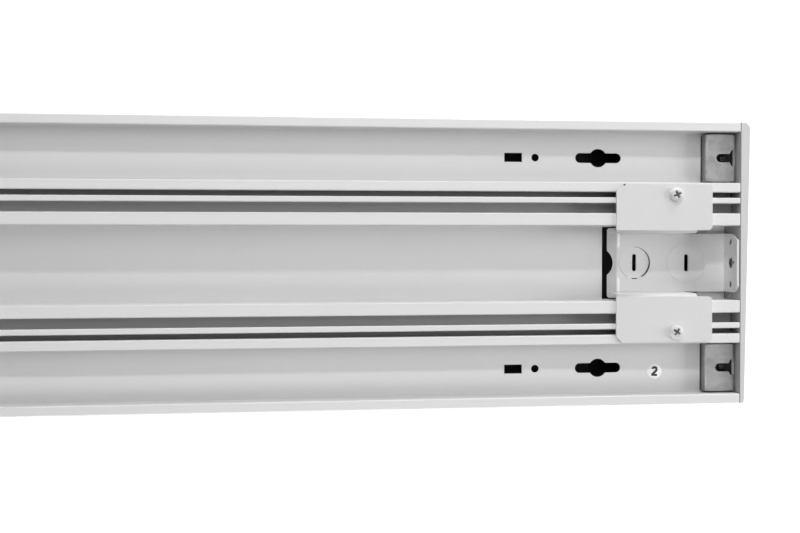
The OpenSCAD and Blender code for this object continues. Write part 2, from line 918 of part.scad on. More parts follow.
// Light chips under the boards, set off the middle line to clear the screws
module led_chips() {
    chip_y = board_w / 4;
    color("gold")
    for (side_x = [-1, 1], side_y = [-1, 1])
        for (i = [0 : chips_a_board - 1])
            translate([
                side_x * board_mid_x + (i - (chips_a_board - 1) / 2) * chip_pitch - chip_l / 2,
                side_y * (board_y + chip_y) - chip_w / 2,
                board_z - chip_h
            ])
            cube([chip_l, chip_w, chip_h]);
}

// Blocks that bridge the gap between the two boards of a row
module board_connectors() {
    color("linen")
    for (side = [-1, 1])
        translate([-connector_l / 2, side * (board_y - board_w / 4) - connector_w / 2,
            board_z - connector_h])
        cube([connector_l, connector_w, connector_h]);
}

module board_screws() {
    color("silver")
    for (side_x = [-1, 1], x = board_screw_x, y = [-1, 1])
        translate([side_x * board_mid_x + x, y * board_y, board_z])
        rotate([180, 0, 0])
        pan_screw(board_screw_d, board_t + tray_t + thread_l, board_head_d, board_head_h);
}

// Holes in both end walls of the driver, where its wires go in
module driver_ports() {
    for (side = [-1, 1])
        translate([side * (driver_l - driver_t) / 2, 0, driver_port_z])
        rotate([0, 90, 0])
        cylinder(d = driver_port_d, h = driver_t + 2 * over, center = true);
}

// Open box with a foot at each end
module driver_case() {
    w = driver_w - 2 * driver_t - 2 * driver_lid_room;
    h = driver_h - driver_t - driver_lid_room;
    color("gainsboro")
    translate([0, 0, deck_z])
    difference() {
        union() {
            translate([-driver_l / 2, -w / 2, 0])
            cube([driver_l, w, h]);
            translate([-driver_l / 2 - driver_foot_l, -w / 2, 0])
            cube([driver_l + 2 * driver_foot_l, w, driver_t]);
        }
        translate([-driver_l / 2 + driver_t, -w / 2 + driver_t, driver_t])
        cube([driver_l - 2 * driver_t, w - 2 * driver_t, h]);
        translate([0, 0, -deck_z])
        driver_ports();
        for (x = [-1, 1], y = [-1, 1])
            translate([x * driver_foot_x, y * driver_foot_y, -over])
            cylinder(d = driver_screw_d + screw_room, h = driver_t + 2 * over);
    }
}

// Channel that closes the box from above
module driver_lid() {
    color("lightgray")
    along_body(driver_l)
    difference() {
        bar(-driver_w / 2, deck_z + driver_lid_room, driver_w / 2, driver_top_z);
        bar(-driver_w / 2 + driver_t, deck_z, driver_w / 2 - driver_t, driver_top_z - driver_t);
    }
}

// Circuit board on four posts inside the driver
module driver_board() {
    post_x = driver_board_l / 2 - driver_post_in;
    post_y = driver_board_w / 2 - driver_post_in;
    color("seagreen") {
        translate([-driver_board_l / 2, -driver_board_w / 2, driver_board_z])
        cube([driver_board_l, driver_board_w, driver_board_t]);
        for (x = [-1, 1], y = [-1, 1])
            translate([x * post_x, y * post_y, deck_z + driver_t])
            cylinder(d = driver_post_d, h = driver_post_h);
    }
}

module driver_transformer() {
    color("goldenrod")
    translate([0, 0, driver_part_z]) {
        translate([-core_l / 2, -core_w / 2, 0])
        cube([core_l, core_w, driver_part_h - core_drop]);
        translate([-winding_l / 2, -winding_w / 2, 0])
        cube([winding_l, winding_w, driver_part_h]);
    }
}

module driver_capacitors() {
    color("midnightblue")
    for (x = capacitor_x)
        translate([x, capacitor_y, driver_part_z])
        cylinder(d = capacitor_d, h = driver_part_h);
}

module driver_screws() {
    color("silver")
    for (x = [-1, 1], y = [-1, 1])
        translate([x * driver_foot_x, y * driver_foot_y, deck_z + driver_t])
        pan_screw(driver_screw_d, driver_t + tray_t + thread_l, driver_head_d, driver_head_h);
}

// Three-pole terminal block with a wire hole and two screw wells a pole
module terminal_block() {
    color("white")
    translate([terminal_x, 0, deck_z])
    difference() {
        union() {
            translate([-terminal_l / 2, -terminal_w / 2, 0])
            cube([terminal_l, terminal_w, terminal_h - terminal_step_h]);
            for (pole = [-1, 0, 1])
                translate([0, pole * terminal_pole_w, terminal_h / 2])
                cube([terminal_l - 2 * terminal_tower_in, terminal_tower_w, terminal_h],
                    center = true);
        }
        for (pole = [-1, 0, 1])
            translate([0, pole * terminal_pole_w, 0]) {
                translate([-terminal_l / 2 - over, 0, terminal_wire_z - deck_z])
                rotate([0, 90, 0])
                cylinder(d = wire_d + terminal_wire_room, h = terminal_l + 2 * over);
                for (side = [-1, 1])
                    translate([side * terminal_l / 4, 0, terminal_h - terminal_well_h])
                    cylinder(d = terminal_screw_d + terminal_screw_room, h = terminal_well_h + over);
            }
    }
}

module terminal_screws() {
    color("silver")
    for (pole = [-1, 0, 1], side = [-1, 1])
        translate([terminal_x + side * terminal_l / 4, pole * terminal_pole_w,
            deck_z + terminal_h - terminal_well_h])
        difference() {
            cylinder(d = terminal_screw_d, h = terminal_screw_l);
            translate([0, 0, terminal_screw_l])
            cube([2 * terminal_screw_d, terminal_groove_w, 2 * terminal_groove_w], center = true);
        }
}

module earth_screw() {
    color("green")
    translate([earth_screw_x, earth_screw_y, deck_z])
    pan_screw(driver_screw_d, tray_t + thread_l, earth_head_d, earth_head_h);
}

// Wire from a pole of the terminal block into the right end of the driver
module mains_wire(pole, lane_y) {
    block_x = terminal_x - terminal_l / 2;
    rise_x = driver_l / 2 + driver_foot_l + wire_rise_gap;
    wire([
        [block_x + terminal_wire_in, pole * terminal_pole_w, terminal_wire_z],
        [block_x - wire_drop_l, pole * terminal_pole_w, terminal_wire_z],
        [block_x - wire_exit_l, lane_y, wire_lie_z],
        [rise_x, lane_y, wire_lie_z],
        [rise_x - wire_rise_l, lane_y, driver_port_z],
        [driver_l / 2 - driver_wire_in, lane_y, driver_port_z]
    ]);
}

module line_wire() {
    color("black")
    mains_wire(1, wire_d);
}

module neutral_wire() {
    color("white")
    mains_wire(0, -wire_d);
}

// Wire from the third pole to the screw on the tray
module earth_wire() {
    block_x = terminal_x + terminal_l / 2;
    color("limegreen")
    wire([
        [block_x - terminal_wire_in, -terminal_pole_w, terminal_wire_z],
        [block_x + wire_drop_l, -terminal_pole_w, terminal_wire_z],
        [block_x + 2 * wire_drop_l, -terminal_pole_w, wire_lie_z],
        [earth_screw_x - earth_head_d / 2 - wire_room, earth_screw_y, wire_lie_z]
    ]);
}

// Two wires from the left end of the driver, down through the tray, to a row
module dc_wires(side_y) {
    lane = wire_d / 2 + wire_room;
    rise_x = -driver_l / 2 - driver_foot_l - wire_rise_gap;
    for (off = [-lane, lane])
        wire([
            [-driver_l / 2 + driver_wire_in, side_y * lane, driver_port_z + off],
            [rise_x + wire_rise_l, side_y * lane, driver_port_z + off],
            [rise_x - off, side_y * lane, dc_lie_z + lane + off],
            [grommet_x - off, side_y * lane, dc_lie_z + lane + off],
            [grommet_x - off, side_y * lane, wire_under_z],
            [grommet_x - off, side_y * (board_y - board_w / 4), wire_under_z]
        ]);
}

// Rubber ring that lines the wire hole in the tray
module tray_grommet() {
    h = tray_t + 2 * grommet_lip;
    lip_d = grommet_d + 2 * grommet_rim;
    color("dimgray")
    translate([grommet_x, 0, tray_z - grommet_lip])
    difference() {
        union() {
            cylinder(d = grommet_d, h = h);
            cylinder(d = lip_d, h = grommet_lip);
            translate([0, 0, h - grommet_lip])
            cylinder(d = lip_d, h = grommet_lip);
        }
        translate([0, 0, -over])
        cylinder(d = grommet_bore_d, h = h + 2 * over);
    }
}

// Flat frosted lens
module lens() {
    color("aliceblue")
    along_body(lens_l)
    bar(-lens_y, lens_z, lens_y, lens_z + lens_t);
}

// Rail that stands along one edge of the lens, close to the side wall
module lens_rail(side) {
    color("aliceblue")
    along_body(lens_l)
    translate([side * (lens_y - lens_t / 2), lens_z + lens_t + lens_rail_h / 2])
    square([lens_t, lens_rail_h], center = true);
}

// Round label near the right end
module end_mark() {
    color("white")
    translate([half_l - mark_in, -recess_mid - mark_off, floor_z])
    cylinder(d = mark_d, h = mark_t);
}

housing_extrusion();
at_end(180) end_cap();  // end_cap_left
at_end(0) end_cap();  // end_cap_right
at_end(180) end_cap_screws();  // end_cap_screws_left
at_end(0) end_cap_screws();  // end_cap_screws_right
at_end(180) wiring_cover();  // wiring_cover_left
at_end(0) wiring_cover();  // wiring_cover_right
at_end(180) cover_screws();  // cover_screws_left
at_end(0) cover_screws();  // cover_screws_right
at_end(180) translate([0, recess_mid, 0]) joiner_bracket();  // joiner_left_front
at_end(180) translate([0, -recess_mid, 0]) joiner_bracket();  // joiner_left_rear
at_end(0) translate([0, -recess_mid, 0]) joiner_bracket();  // joiner_right_front
at_end(0) translate([0, recess_mid, 0]) joiner_bracket();  // joiner_right_rear
joiner_screws();
gear_tray();
tray_screws();
led_board(-1, -1);  // led_board_left_front
led_board(-1, 1);  // led_board_left_rear
led_board(1, -1);  // led_board_right_front
led_board(1, 1);  // led_board_right_rear
led_chips();
board_connectors();
board_screws();
driver_case();
driver_lid();
driver_board();
driver_transformer();
driver_capacitors();
driver_screws();
terminal_block();
terminal_screws();
earth_screw();
line_wire();
neutral_wire();
earth_wire();
color("red") dc_wires(-1);  // dc_wires_front
color("red") dc_wires(1);  // dc_wires_rear
tray_grommet();
lens();
lens_rail(-1);  // lens_rail_front
lens_rail(1);  // lens_rail_rear
end_mark();
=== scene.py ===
import json
import math

import bmesh
import bpy
import numpy as np
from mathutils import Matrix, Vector


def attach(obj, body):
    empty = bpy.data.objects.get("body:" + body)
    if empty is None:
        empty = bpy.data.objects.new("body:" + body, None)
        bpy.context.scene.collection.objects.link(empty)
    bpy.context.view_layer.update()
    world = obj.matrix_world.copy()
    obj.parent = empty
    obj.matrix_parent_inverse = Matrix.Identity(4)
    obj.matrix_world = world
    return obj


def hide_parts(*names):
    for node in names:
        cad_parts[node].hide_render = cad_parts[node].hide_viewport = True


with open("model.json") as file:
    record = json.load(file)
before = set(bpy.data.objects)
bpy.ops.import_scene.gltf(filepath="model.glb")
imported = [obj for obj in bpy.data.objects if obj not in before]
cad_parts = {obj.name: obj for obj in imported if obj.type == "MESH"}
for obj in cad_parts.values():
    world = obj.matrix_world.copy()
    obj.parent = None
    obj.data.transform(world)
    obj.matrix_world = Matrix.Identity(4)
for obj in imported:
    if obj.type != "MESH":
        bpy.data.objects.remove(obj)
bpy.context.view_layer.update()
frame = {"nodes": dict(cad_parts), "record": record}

# Looks of a wide linear ceiling light. It lies lens down, with the side that goes against the ceiling towards the
# camera. X runs along the body, Y across it and Z up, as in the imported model. Materials, camera and lamps are in
# metres, and the shapes of the pieces are worked out in millimetres.

scene = bpy.context.scene
MM = 0.001
SIDES = (("right", 1), ("left", -1))

# ---- Camera: above the right end, looking down almost straight, as in the photograph

camera_data = bpy.data.cameras.new("camera")
camera_data.sensor_width = 36
camera_data.lens = 38.25
camera_data.clip_start, camera_data.clip_end = 0.01, 100
camera = bpy.data.objects.new("camera", camera_data)
camera.location = (0.31882, 0.00838, 0.55109)
camera.rotation_euler = [math.radians(a) for a in (-1.018, -5.527, -0.099)]
scene.collection.objects.link(camera)
scene.camera = camera

# ---- Node helpers


def put(tree, kind, values=None, **settings):
    """New node of a tree. A value that is a socket is linked, and any other is set on the input of that name."""
    node = tree.nodes.new(kind)
    for key, value in settings.items():
        setattr(node, key, value)
    for key, value in (values or {}).items():
        if isinstance(value, bpy.types.NodeSocket):
            tree.links.new(value, node.inputs[key])
        else:
            node.inputs[key].default_value = value
    return node


def maths(tree, operation, a, b=0.0):
    """Result of a maths node."""
    return put(tree, "ShaderNodeMath", {0: a, 1: b}, operation=operation).outputs[0]


def product(tree, *factors):
    """Product of two or more factors."""
    result = factors[0]
    for factor in factors[1:]:
        result = maths(tree, "MULTIPLY", result, factor)
    return result


def within(tree, value, low, high):
    """1 between two bounds, 0 outside them."""
    return product(tree, maths(tree, "GREATER_THAN", value, low), maths(tree, "LESS_THAN", value, high))


def ramp(tree, value, start, end, low=0.0, high=1.0):
    """Low up to the start, high from the end on, and a straight line between them."""
    return put(tree, "ShaderNodeMapRange", {
        "Value": value, "From Min": start, "From Max": end, "To Min": low, "To Max": high}).outputs[0]


def scaled(tree, colour, share):
    """Colour times a share."""
    return put(tree, "ShaderNodeVectorMath", {0: colour, "Scale": share}, operation="SCALE").outputs[0]


def noise(tree, place, scale, detail, roughness=0.5):
    """Value of a noise texture."""
    return put(tree, "ShaderNodeTexNoise", {
        "Vector": place, "Scale": scale, "Detail": detail, "Roughness": roughness}).outputs[0]


def object_place(tree, scale=(1, 1, 1)):
    """Object coordinates, stretched."""
    place = put(tree, "ShaderNodeTexCoord").outputs["Object"]
    return put(tree, "ShaderNodeMapping", {"Vector": place, "Scale": scale}).outputs[0]


def place_of(tree):
    """X, distance from the middle plane, and Z of a point of the piece."""
    place = put(tree, "ShaderNodeSeparateXYZ", {0: put(tree, "ShaderNodeTexCoord").outputs["Object"]}).outputs
    return place[0], maths(tree, "ABSOLUTE", place[1]), place[2]


# ---- Effects that several materials share

# Stations of the finishes and of the painted shade and light, in metres. Those along Y are distances from the middle
# plane. The walls, floors and the tray have theirs between their two faces, so that one face takes it and the other
# doesn't.
SHADED_END = 0.60368  # a little inside of the extrusion's ends
CAP_JOINT = 0.60432  # a little outside of them
WIRING_WALL, OUTER_WALL = 0.0262, 0.0939
SIDE_FLOOR, WIRING_FLOOR = -0.0137, -0.0235
ON_TRAY, TRAY_SHEET = -0.0545, -0.0547
HANGER_SLOT, SCREW_SLOT = (0.0310, 0.0429), (0.0439, 0.0480)
SLOT_DEPTH = (-0.0005, -0.0060)  # heights between which the painted shade in the slots grows
SIDE_CORNER, SIDE_DEEP = (0.0740, 0.0890), -0.0030  # outer half of a side channel, below its rim
RAIL_TOPS = -0.0012  # a little under the faces towards the ceiling
BRACKET_FOOT = (-0.0085, -0.0115)  # heights between a bracket's top and its foot


def effect(name, inputs, outputs):
    """Empty shader node group with float or colour sockets, and its input and output nodes."""
    tree = bpy.data.node_groups.new(name, "ShaderNodeTree")
    for label, default in inputs.items():
        kind = "NodeSocketColor" if isinstance(default, tuple) else "NodeSocketFloat"
        tree.interface.new_socket(label, in_out="INPUT", socket_type=kind).default_value = default
    for label, kind in outputs.items():
        tree.interface.new_socket(label, in_out="OUTPUT", socket_type="NodeSocket" + kind)
    return tree, put(tree, "NodeGroupInput").outputs, put(tree, "NodeGroupOutput")


def apply_effect(tree, group, values):
    """Outputs of a shared effect with these values on its inputs."""
    return put(tree, "ShaderNodeGroup", values, node_tree=group).outputs


def powder_coat_effect():
    """Fine orange peel and the faint cloudiness of a sprayed coat."""
    tree, given, out = effect(
        "powder_coat", {"Colour": (0.8, 0.8, 0.8, 1), "Peel per metre": 1100.0, "Cloud": 0.03},
        {"Colour": "Color", "Roughness": "Float", "Height": "Float"})
    place = object_place(tree)
    peel = noise(tree, place, given["Peel per metre"], 2.0, 0.6)
    cloud = noise(tree, place, 23.0, 4.0, 0.6)
    patch = product(tree, maths(tree, "SUBTRACT", cloud, 0.5), given["Cloud"])
    speck = product(tree, maths(tree, "SUBTRACT", peel, 0.5), 0.10)
    share = maths(tree, "ADD", 1.0, maths(tree, "ADD", patch, speck))
    tree.links.new(scaled(tree, given["Colour"], share), out.inputs["Colour"])
    tree.links.new(maths(tree, "ADD", 0.38, product(tree, cloud, 0.14)), out.inputs["Roughness"])
    tree.links.new(peel, out.inputs["Height"])
    return tree


def die_line_effect():
    """Fine lines that the extrusion die leaves along X."""
    tree, given, out = effect("die_lines", {"Lines per metre": 900.0}, {"Height": "Float"})
    lines = noise(tree, object_place(tree, (0.002, 1, 1)), given["Lines per metre"], 3.0, 0.7)
    tree.links.new(lines, out.inputs["Height"])
    return tree


def spangle_effect():
    """Dull crystals of a zinc coat, with the light scratches of handling."""
    tree, given, out = effect(
        "spangle", {"Colour": (0.45, 0.45, 0.45, 1), "Crystals per metre": 260.0},
        {"Colour": "Color", "Roughness": "Float", "Height": "Float"})
    place = object_place(tree)
    crystal = put(tree, "ShaderNodeTexVoronoi", {"Vector": place, "Scale": given["Crystals per metre"]})
    tone = put(tree, "ShaderNodeSeparateColor", {"Color": crystal.outputs["Color"]}).outputs[0]
    fine = noise(tree, place, 900.0, 3.0, 0.65)
    scratch = noise(tree, object_place(tree, (0.03, 1, 1)), 1400.0, 2.0)
    share = maths(tree, "ADD", product(tree, tone, 0.16), product(tree, fine, 0.34))
    share = maths(tree, "ADD", maths(tree, "ADD", share, product(tree, scratch, 0.14)), 0.68)
    tree.links.new(scaled(tree, given["Colour"], share), out.inputs["Colour"])
    tree.links.new(maths(tree, "ADD", 0.36, product(tree, tone, 0.18)), out.inputs["Roughness"])
    tree.links.new(maths(tree, "ADD", fine, scratch), out.inputs["Height"])
    return tree


def painted_shade_light_effect():
    """Painted shade and light on the extrusion. The first output is the share of the full colour: a little more on
    the faces towards the ceiling, as painted light, and less deep in the slots and towards the outer corners of the
    side channels, as painted shade. The second output is 1 at the ends of the extrusion, along the joint with the end
    plates, and inside the body between the channels and the tray, where it marks painted shade."""
    tree, given, out = effect(
        "painted_shade_and_light", {"Slot": 0.5, "Corner": 0.15, "Outer": 0.11}, {"Coat": "Float", "Bare": "Float"})
    x, y, z = place_of(tree)
    sides = product(tree, maths(tree, "GREATER_THAN", y, WIRING_WALL), maths(tree, "LESS_THAN", z, SIDE_FLOOR))
    under = maths(tree, "MAXIMUM", sides, maths(tree, "LESS_THAN", z, WIRING_FLOOR))
    # Inside the body and at its ends, along the joint with the end plates: painted shade.
    inside = product(tree, under, within(tree, z, ON_TRAY, 0.0), maths(tree, "LESS_THAN", y, OUTER_WALL))
    seam_shade = maths(tree, "GREATER_THAN", maths(tree, "ABSOLUTE", x), SHADED_END)
    tree.links.new(maths(tree, "MAXIMUM", inside, seam_shade), out.inputs["Bare"])
    # Deep in the slots and towards the outer corners: painted shade. On the faces towards the ceiling: painted light.
    screw_slot = product(tree, within(tree, y, *SCREW_SLOT), given["Slot"])
    hanger_slot = product(tree, within(tree, y, *HANGER_SLOT), product(tree, given["Slot"], 0.55))
    in_slots = product(tree, ramp(tree, z, *SLOT_DEPTH), maths(tree, "ADD", screw_slot, hanger_slot))
    deep = maths(tree, "LESS_THAN", z, SIDE_DEEP)
    in_corners = product(tree, ramp(tree, y, *SIDE_CORNER), deep, given["Corner"])
    loss = maths(tree, "ADD", in_slots, in_corners)
    outer = product(tree, maths(tree, "GREATER_THAN", z, RAIL_TOPS), given["Outer"])
    tree.links.new(maths(tree, "ADD", outer, maths(tree, "SUBTRACT", 1.0, loss)), out.inputs["Coat"])
    return tree


POWDER_COAT = powder_coat_effect()
DIE_LINES = die_line_effect()
SPANGLE = spangle_effect()
PAINTED_SHADE_LIGHT = painted_shade_light_effect()

# ---- Materials. Relief is the height of the grain in metres, and peel and crystals are counted per metre.

RELIEF = 0.00002


def blank(name):
    """New node material with a Principled BSDF."""
    material = bpy.data.materials.new(name)
    material.use_nodes = True
    tree = material.node_tree
    tree.nodes.clear()
    shader = put(tree, "ShaderNodeBsdfPrincipled")
    put(tree, "ShaderNodeOutputMaterial", {"Surface": shader.outputs[0]})
    return material, tree, shader


def bump(tree, shader, height, relief=RELIEF):
    """Relief of the surface."""
    node = put(tree, "ShaderNodeBump", {"Height": height, "Strength": 1.0, "Distance": relief})
    tree.links.new(node.outputs[0], shader.inputs["Normal"])


def darkened(tree, shader, colour, where, loss):
    """Base colour: the colour, less the given share of it where the mask is 1."""
    share = maths(tree, "SUBTRACT", 1.0, product(tree, where, loss))
    tree.links.new(scaled(tree, colour, share), shader.inputs["Base Color"])


def coated(name, colour, peel=1100.0, cloud=0.03):
    """New material, and the outputs of a powder coat that gives its roughness."""
    material, tree, shader = blank(name)
    coat = apply_effect(tree, POWDER_COAT, {"Colour": (*colour, 1), "Peel per metre": peel, "Cloud": cloud})
    tree.links.new(coat["Roughness"], shader.inputs["Roughness"])
    return material, tree, shader, coat


def painted(name, grey, cloud):
    """Plain white powder coat."""
    material, tree, shader, coat = coated(name, (grey, grey, grey), cloud=cloud)
    tree.links.new(coat["Colour"], shader.inputs["Base Color"])
    bump(tree, shader, coat["Height"])
    return material


def moulded(name, colour, roughness=0.45):
    """Plain moulded or sleeved plastic with a fine grain."""
    material, tree, shader = blank(name)
    coat = apply_effect(tree, POWDER_COAT, {"Colour": (*colour, 1), "Peel per metre": 900.0, "Cloud": 0.06})
    tree.links.new(coat["Colour"], shader.inputs["Base Color"])
    shader.inputs["Roughness"].default_value = roughness
    bump(tree, shader, coat["Height"], RELIEF / 2)
    return material


def zinc_based(name, colour, metallic, crystals):
    """New metal material, and the outputs of a zinc coat that gives its roughness and relief."""
    material, tree, shader = blank(name)
    coat = apply_effect(tree, SPANGLE, {"Colour": (*colour, 1), "Crystals per metre": crystals})
    tree.links.new(coat["Roughness"], shader.inputs["Roughness"])
    shader.inputs["Metallic"].default_value = metallic
    bump(tree, shader, coat["Height"])
    return material, tree, shader, coat


def zinc_coated(name, colour, metallic=0.85, crystals=260.0):
    """Galvanised or zinc plated steel."""
    material, tree, shader, coat = zinc_based(name, colour, metallic, crystals)
    tree.links.new(coat["Colour"], shader.inputs["Base Color"])
    return material


def body_finish():
    """Powder coat with die lines on the extrusion, with painted shade deep in its slots, towards the outer corners of
    the side channels, at its ends and inside it, where it is also partly metallic, and painted light on the faces
    towards the ceiling.
    """
    material, tree, shader, coat = coated("body_paint", (0.77, 0.77, 0.77))
    reach = apply_effect(tree, PAINTED_SHADE_LIGHT, {"Slot": 0.58, "Corner": 0.15, "Outer": 0.12})
    darkened(tree, shader, scaled(tree, coat["Colour"], reach["Coat"]), reach["Bare"], 0.92)
    tree.links.new(product(tree, reach["Bare"], 0.6), shader.inputs["Metallic"])
    streaks = apply_effect(tree, DIE_LINES, {"Lines per metre": 900.0})["Height"]
    bump(tree, shader, maths(tree, "ADD", coat["Height"], product(tree, streaks, 0.5)))
    return material


def cap_finish():
    """Painted end plate, darkened along the joint with the body as painted shade."""
    material, tree, shader, coat = coated("cap_paint", (0.70, 0.70, 0.70), peel=700.0, cloud=0.05)
    joint = maths(tree, "LESS_THAN", maths(tree, "ABSOLUTE", place_of(tree)[0]), CAP_JOINT)
    darkened(tree, shader, coat["Colour"], joint, 0.45)
    bump(tree, shader, coat["Height"])
    return material


# Chips in the paint of the right cover: the middle and the size.
CHIPS = (((0.5222, 0.0524, 0.0015), 0.0009), ((0.6017, 0.0003, -0.0046), 0.0012))


def cover_finish():
    """Powder coat on folded sheet, chipped down to dull metal on an edge of a wing and of the tab: the paint is gone
    where the distance from a chip's middle is less than its size times a noise plus a constant."""
    material, tree, shader, coat = coated("cover_paint", (0.785, 0.785, 0.785))
    place = put(tree, "ShaderNodeTexCoord").outputs["Object"]
    ragged = noise(tree, place, 1500.0, 2.0)
    wear_and_shade = 0.0
    for middle, size in CHIPS:
        away = put(tree, "ShaderNodeVectorMath", {0: place, 1: middle}, operation="DISTANCE").outputs["Value"]
        edge = product(tree, maths(tree, "ADD", ragged, 0.35), size)
        wear_and_shade = maths(tree, "MAXIMUM", maths(tree, "LESS_THAN", away, edge), wear_and_shade)
    darkened(tree, shader, coat["Colour"], wear_and_shade, 0.85)
    bump(tree, shader, maths(tree, "SUBTRACT", coat["Height"], product(tree, wear_and_shade, 2.0)))
    return material


def tray_finish():
    """Sheet painted white on the side that faces the boards; on the side of the driver its colour is darkened almost
    to black and partly metallic, as painted shade.
    """
    material, tree, shader, coat = coated("tray_paint", (0.86, 0.86, 0.86), peel=900.0)
    wear_and_shade = maths(tree, "GREATER_THAN", place_of(tree)[2], TRAY_SHEET)
    darkened(tree, shader, coat["Colour"], wear_and_shade, 0.93)
    tree.links.new(product(tree, wear_and_shade, 0.5), shader.inputs["Metallic"])
    bump(tree, shader, coat["Height"])
    return material


def board_finish():
    """White mask of a circuit board, a little lighter over its wide copper fields than over the gaps between them."""
    material, tree, shader = blank("board_white")
    coat = apply_effect(
        tree, POWDER_COAT, {"Colour": (0.84, 0.85, 0.83, 1), "Peel per metre": 900.0, "Cloud": 0.04})
    fields = put(tree, "ShaderNodeTexBrick", {
        "Vector": object_place(tree, (40.0, 40.0, 40.0)), "Scale": 1.0, "Mortar Size": 0.03, "Mortar Smooth": 0.3,
        "Brick Width": 1.0, "Row Height": 0.30, "Color1": (1, 1, 1, 1), "Color2": (1, 1, 1, 1),
        "Mortar": (0, 0, 0, 1)}, offset=0.5)
    copper = maths(tree, "SUBTRACT", 1.0, fields.outputs["Fac"])
    lightness = maths(tree, "ADD", 0.90, product(tree, copper, 0.10))
    tree.links.new(scaled(tree, coat["Colour"], lightness), shader.inputs["Base Color"])
    shader.inputs["Roughness"].default_value = 0.3
    bump(tree, shader, maths(tree, "ADD", copper, product(tree, coat["Height"], 0.2)), 1.5 * RELIEF)
    return material


def bracket_finish():
    """Galvanised steel, darkened towards the foot, under the bracket's top, as painted shade."""
    material, tree, shader, coat = zinc_based("galvanised_steel", (0.30, 0.30, 0.30), 0.7, 260.0)
    darkened(tree, shader, coat["Colour"], ramp(tree, place_of(tree)[2], *BRACKET_FOOT), 0.9)
    return material


cap_paint = cap_finish()
cover_paint = cover_finish()
board_white = board_finish()
screw_paint = painted("white_screw", 0.72, cloud=0.1)
# A lighter coat, as painted highlight, for the crests of the covers' lip bends.
highlight_coat = painted("painted_highlight_coat", 0.96, cloud=0.02)
zinc = zinc_coated("zinc_screw", (0.60, 0.60, 0.59), metallic=1.0, crystals=900.0)
# Zinc darkened almost to black, as painted shade, for the bracket screws in the shade of the brackets.
shade_dark_zinc = zinc_coated("shade_dark_zinc", (0.07, 0.07, 0.07), metallic=0.9, crystals=900.0)
green_zinc = zinc_coated("green_screw", (0.12, 0.42, 0.17), metallic=0.6)
worn_recess = zinc_coated("worn_recess", (0.13, 0.13, 0.13), metallic=0.7, crystals=1600.0)
phosphor = moulded("chip_phosphor", (0.9, 0.72, 0.2), roughness=0.3)
nylon = moulded("connector_nylon", (0.82, 0.81, 0.76))
sleeve_blue = moulded("capacitor_sleeve", (0.04, 0.06, 0.18), roughness=0.25)
wire_black = moulded("wire_black", (0.03, 0.03, 0.03))
wire_white = moulded("wire_white", (0.8, 0.8, 0.78))
wire_green = moulded("wire_green", (0.08, 0.42, 0.12))
wire_red = moulded("wire_red", (0.5, 0.04, 0.03))
print_black = moulded("print_black", (0.012, 0.012, 0.012), roughness=0.6)
label_paper = moulded("mark_label", (0.98, 0.98, 0.98), roughness=0.6)

FINISH = {
    "body_paint": body_finish(),
    "cap_paint": cap_paint,
    "cover_paint": cover_paint,
    "white_screw": screw_paint,
    "zinc_screw": zinc,
    "green_screw": green_zinc,
    "galvanised_steel": bracket_finish(),
    "tray_paint": tray_finish(),
    "board_white": board_white,
    "chip_phosphor": phosphor,
    "connector_nylon": nylon,
    "driver_metal": zinc_coated("driver_metal", (0.62, 0.62, 0.63)),
    "board_green": moulded("board_green", (0.05, 0.24, 0.10), roughness=0.35),
    "transformer_tape": moulded("transformer_tape", (0.75, 0.55, 0.1), roughness=0.35),
    "capacitor_sleeve": sleeve_blue,
    "wire_black": wire_black,
    "wire_white": wire_white,
    "wire_green": wire_green,
    "wire_red": wire_red,
    "grommet_rubber": moulded("grommet_rubber", (0.04, 0.04, 0.04), roughness=0.7),
    "frosted_lens": moulded("frosted_lens", (0.9, 0.91, 0.91), roughness=0.5),
    "mark_label": label_paper,
}

# ---- CAD nodes take their finish from the record's slots

slot_of = {part["node"]: part["material_slot"] for part in frame["record"]["subparts"]}
for node, thing in frame["nodes"].items():
    thing.data.materials.clear()
    thing.data.materials.append(FINISH[slot_of[node]])

# ---- Shapes: grids of points worked out as whole arrays


def ring_faces(rows, columns):
    """Quads of a grid kept row after row. Corner (i, j) joins (i, j + 1), (i + 1, j + 1) and (i + 1, j), and the last
    column joins the first."""
    i = np.arange(rows - 1)[:, None]
    j = np.arange(columns)[None, :]
    after = (j + 1) % columns
    quads = np.stack(np.broadcast_arrays(
        i * columns + j, i * columns + after, (i + 1) * columns + after, (i + 1) * columns + j), -1)
    return quads.reshape(-1, 4)


def closed_rings(rings):
    """Points and faces of a solid from rings (k, n, 3), each turning anticlockwise as seen from the last one.
    Quads join ring to ring, and a face with n corners closes each end."""
    count, sides = rings.shape[:2]
    last = (count - 1) * sides
    faces = ring_faces(count, sides).tolist()
    faces.append(np.arange(sides)[::-1].tolist())
    faces.append((last + np.arange(sides)).tolist())
    return rings.reshape(-1, 3), faces


def rounded_outline(half_x, half_y, radius, steps):
    """Rectangle with round corners: each corner's centre plus the radius along an angle that turns a quarter."""
    angle = np.linspace(0, math.pi / 2, steps)[None, :] + np.arange(4)[:, None] * math.pi / 2
    centre_x = np.array([1, -1, -1, 1])[:, None] * (half_x - radius)
    centre_y = np.array([1, 1, -1, -1])[:, None] * (half_y - radius)
    return np.stack([centre_x + radius * np.cos(angle), centre_y + radius * np.sin(angle)], -1).reshape(-1, 2)


def stacked_outlines(levels, steps):
    """Solid from levels (half x, half y, radius, z), lowest first: the rounded outline of each level, joined."""
    flat = np.stack([rounded_outline(a, b, r, steps) for a, b, r, _ in levels])
    heights = np.array([level[3] for level in levels])[:, None, None]
    return closed_rings(np.concatenate([flat, np.broadcast_to(heights, flat.shape[:2] + (1,))], -1))


def turned(profile, sides):
    """Solid of revolution about Z from (radius, z) pairs, lowest first: radius times cosine and sine of the turn."""
    radius, z = np.array(profile, float).T
    turn = np.linspace(0, 2 * math.pi, sides, endpoint=False)
    return closed_rings(np.stack(np.broadcast_arrays(
        radius[:, None] * np.cos(turn), radius[:, None] * np.sin(turn), z[:, None]), -1))


